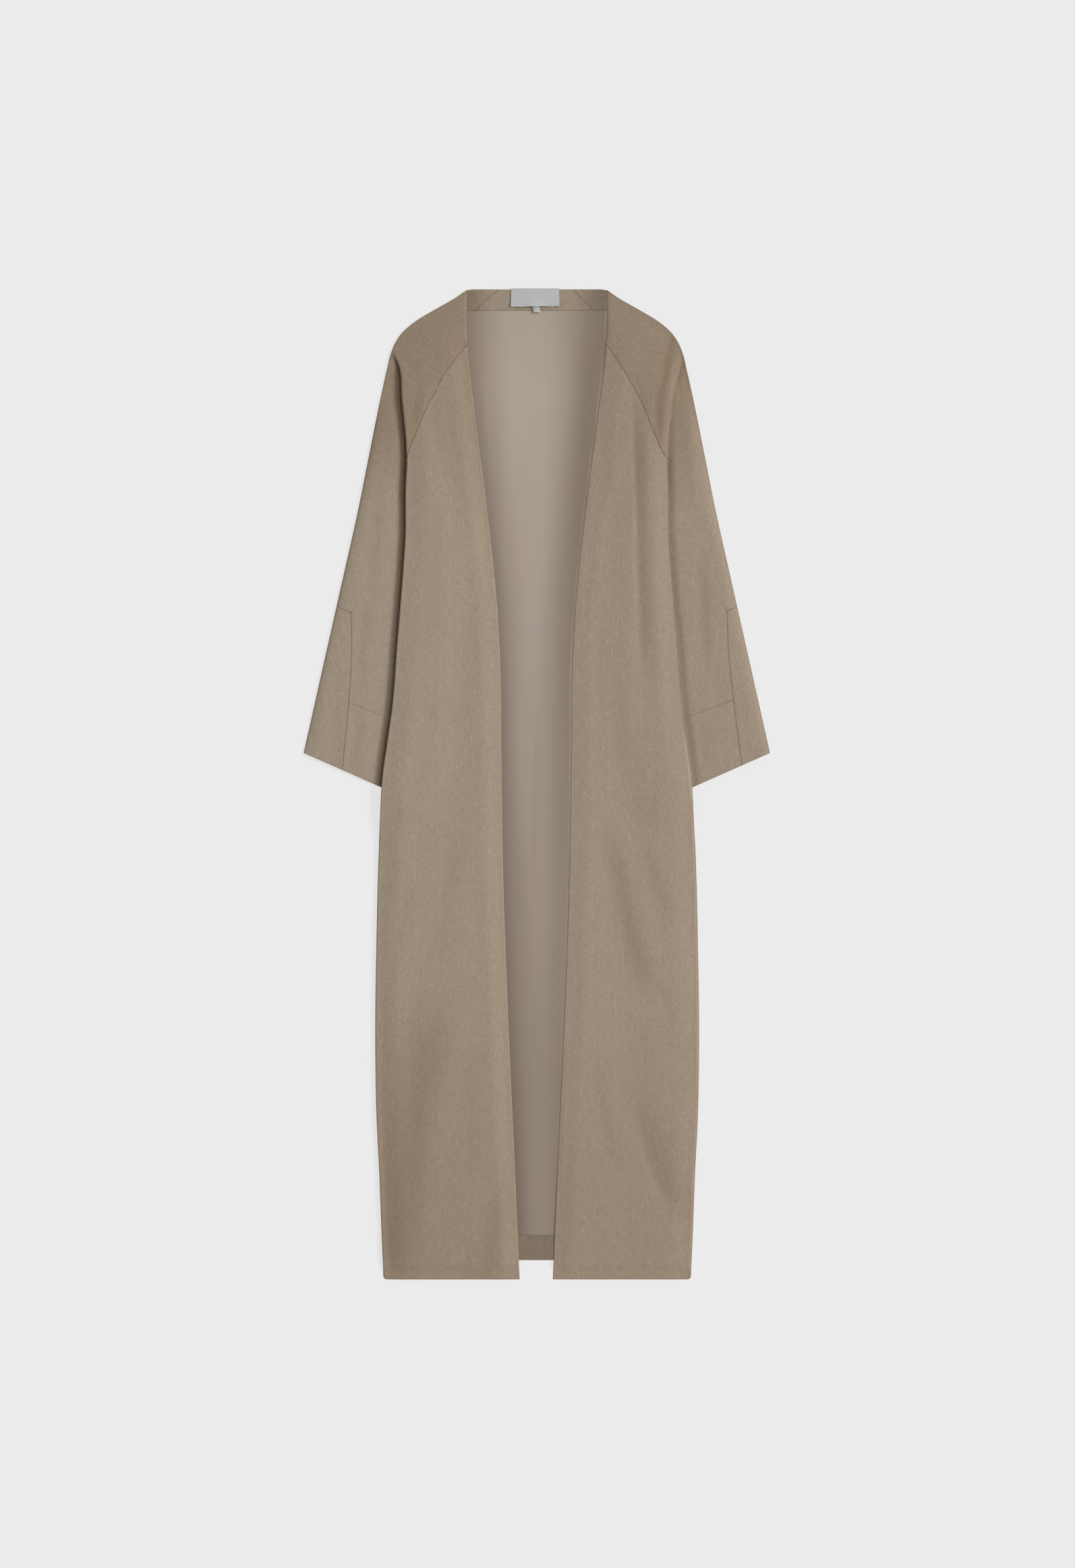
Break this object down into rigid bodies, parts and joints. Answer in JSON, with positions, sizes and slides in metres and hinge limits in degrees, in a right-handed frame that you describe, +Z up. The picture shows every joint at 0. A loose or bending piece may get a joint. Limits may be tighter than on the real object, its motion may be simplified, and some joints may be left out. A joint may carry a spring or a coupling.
{
  "type": "open-fronted abaya cloak, laid flat",
  "caption": "Long open-fronted linen abaya with raglan sleeves, laid face up and flat, lined back showing between the fronts.",
  "frame": {"origin": "centre of the bounding box in X and Y, on the surface the cloak lies on", "axes": "+Y towards the neck, +X towards the wearer's left, +Z up off the surface"},
  "size_m": [0.6684, 1.4196, 0.0082],
  "materials": {
    "linen": "matte",
    "lining": "satin",
    "label_tape": "matte"
  },
  "bodies": {
    "root": {"back": "linen", "front_left": "linen", "front_right": "linen", "sleeve_left": "linen", "sleeve_right": "linen", "sleeve_strip_left": "linen", "sleeve_strip_right": "linen", "cuff_left": "linen", "cuff_right": "linen", "neck_facing_centre": "linen", "neck_facing_left": "linen", "neck_facing_right": "linen", "back_lining": "lining", "hem_band": "linen", "neck_label": "label_tape", "size_tab": "label_tape"}
  },
  "joints": []
}
